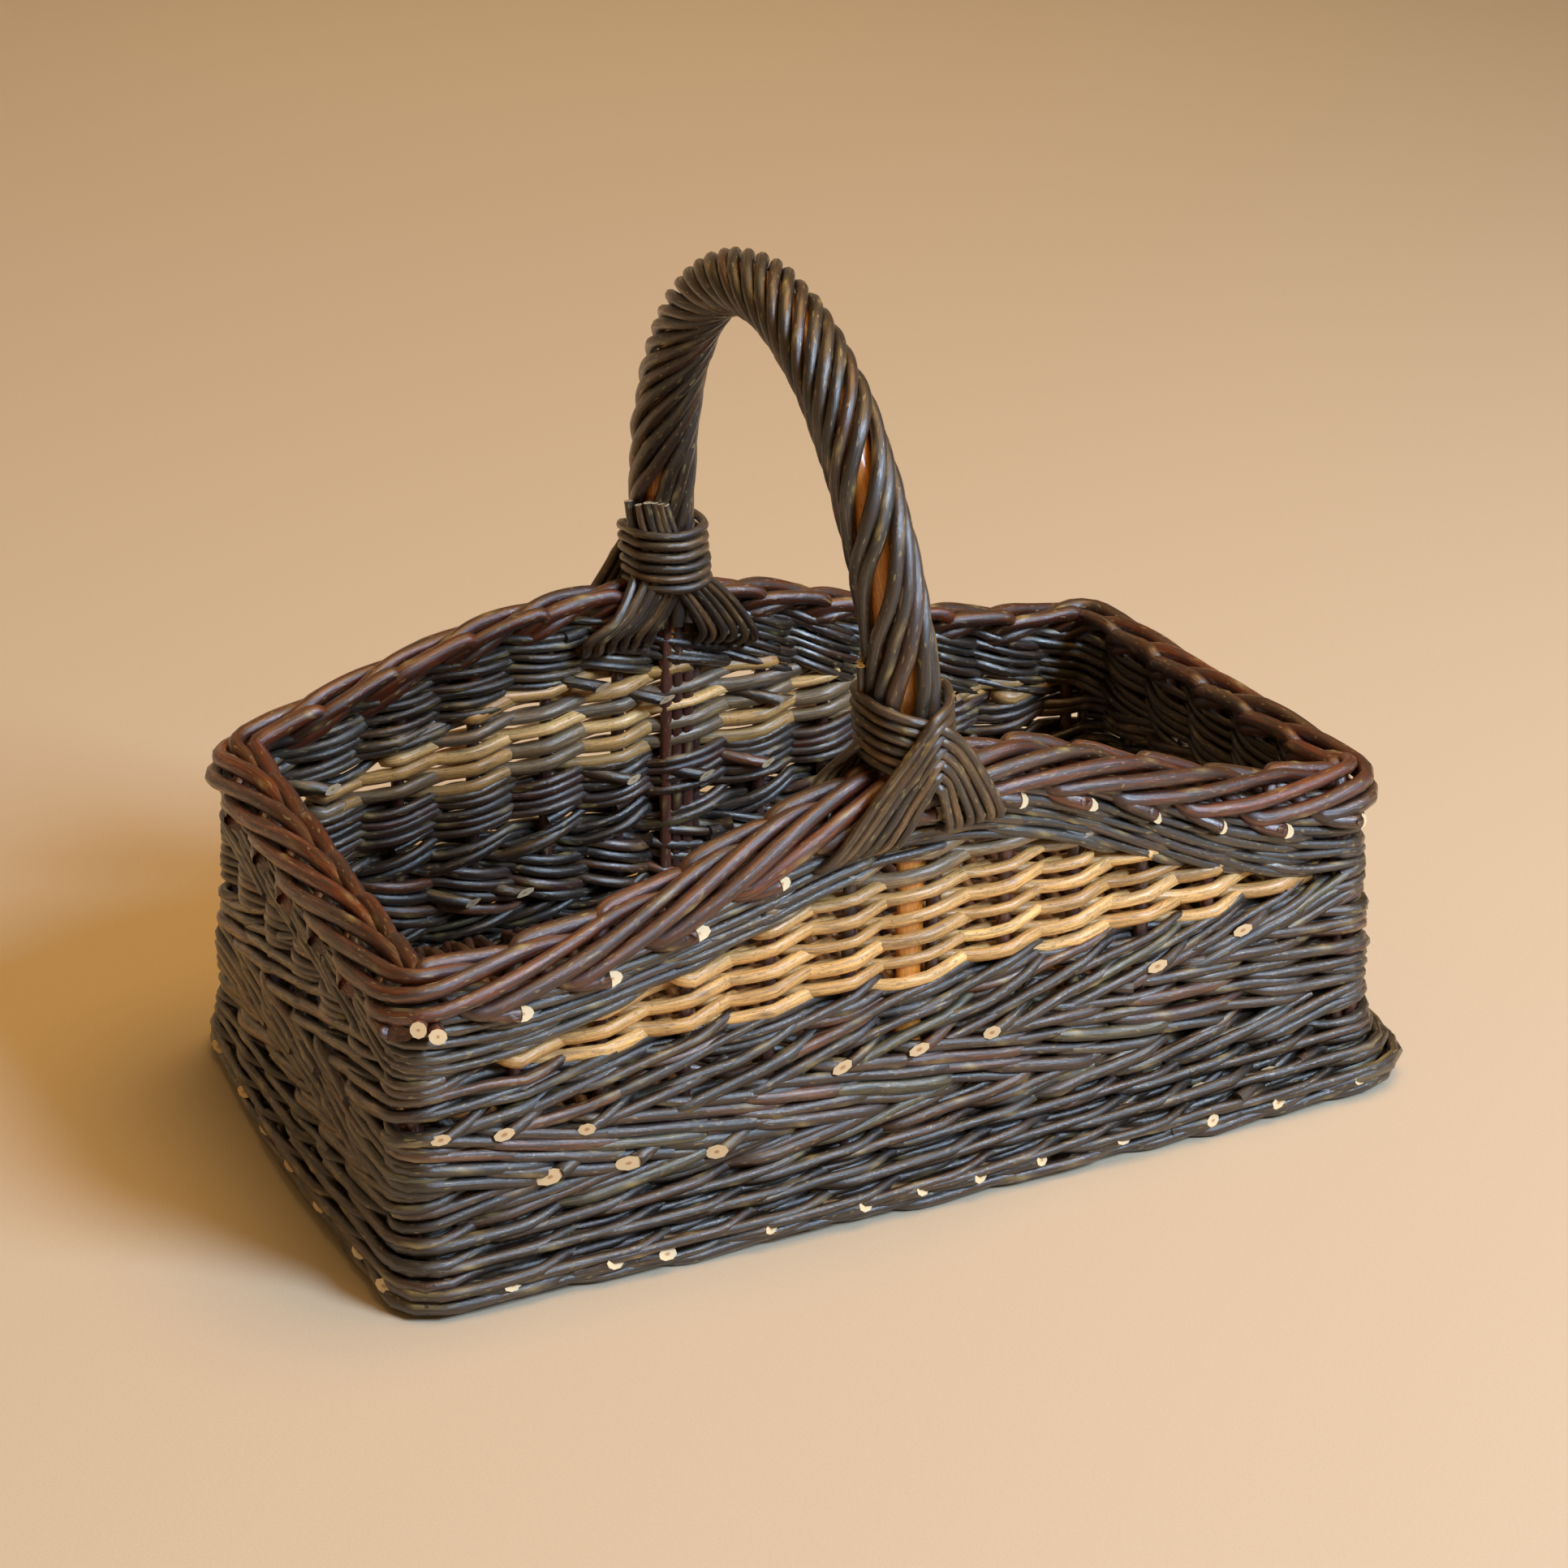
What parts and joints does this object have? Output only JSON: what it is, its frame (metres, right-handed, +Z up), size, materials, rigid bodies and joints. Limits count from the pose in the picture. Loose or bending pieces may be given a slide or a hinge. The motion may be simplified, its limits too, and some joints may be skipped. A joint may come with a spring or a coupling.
{
  "type": "trug basket",
  "caption": "Oblong willow trug with raised rim at mid length, flared foot, light packed bands on the long sides and a high rod-wrapped bow handle.",
  "frame": {"origin": "middle of the basket's length and width, on the floor under the foot", "axes": "+X along the long sides, +Y across towards the back long side, +Z up"},
  "size_m": [0.4921, 0.2949, 0.368],
  "materials": {
    "dark_willow": "satin bark, dark brown with a blue-grey sheen",
    "red_willow": "satin bark, red-brown",
    "buff_willow": "matt bark, buff to olive",
    "base_willow": "matt bark, brown",
    "peeled_wood": "peeled rod, orange, satin",
    "wrap_willow": "satin bark, dark brown"
  },
  "bodies": {
    "root": {"base_stick_1": "red_willow", "base_stick_2": "red_willow", "base_stick_3": "red_willow", "base_stick_4": "red_willow", "base_stick_5": "red_willow", "base_weave": "base_willow", "foot_wale": "dark_willow", "side_weave": "dark_willow", "packing_front": "buff_willow", "packing_back": "buff_willow", "top_wale": "dark_willow", "border": "red_willow", "front_stake_1": "red_willow", "front_stake_2": "red_willow", "front_stake_3": "red_willow", "front_stake_4": "red_willow", "front_stake_5": "red_willow", "front_stake_6": "red_willow", "front_stake_7": "red_willow", "front_stake_8": "red_willow", "front_stake_9": "red_willow", "front_stake_10": "red_willow", "front_stake_11": "red_willow", "front_stake_12": "red_willow", "back_stake_1": "red_willow", "back_stake_2": "red_willow", "back_stake_3": "red_willow", "back_stake_4": "red_willow", "back_stake_5": "red_willow", "back_stake_6": "red_willow", "back_stake_7": "red_willow", "back_stake_8": "red_willow", "back_stake_9": "red_willow", "back_stake_10": "red_willow", "back_stake_11": "red_willow", "back_stake_12": "red_willow", "left_stake_1": "red_willow", "left_stake_2": "red_willow", "left_stake_3": "red_willow", "left_stake_4": "red_willow", "left_stake_5": "red_willow", "right_stake_1": "red_willow", "right_stake_2": "red_willow", "right_stake_3": "red_willow", "right_stake_4": "red_willow", "right_stake_5": "red_willow", "corner_stake_1": "red_willow", "corner_stake_2": "red_willow", "corner_stake_3": "red_willow", "corner_stake_4": "red_willow", "bow": "peeled_wood", "handle_rod_1": "wrap_willow", "handle_rod_2": "wrap_willow", "handle_rod_3": "wrap_willow", "handle_rod_4": "wrap_willow", "handle_rod_5": "wrap_willow", "lashing_front": "red_willow", "lashing_back": "red_willow"}
  },
  "joints": []
}
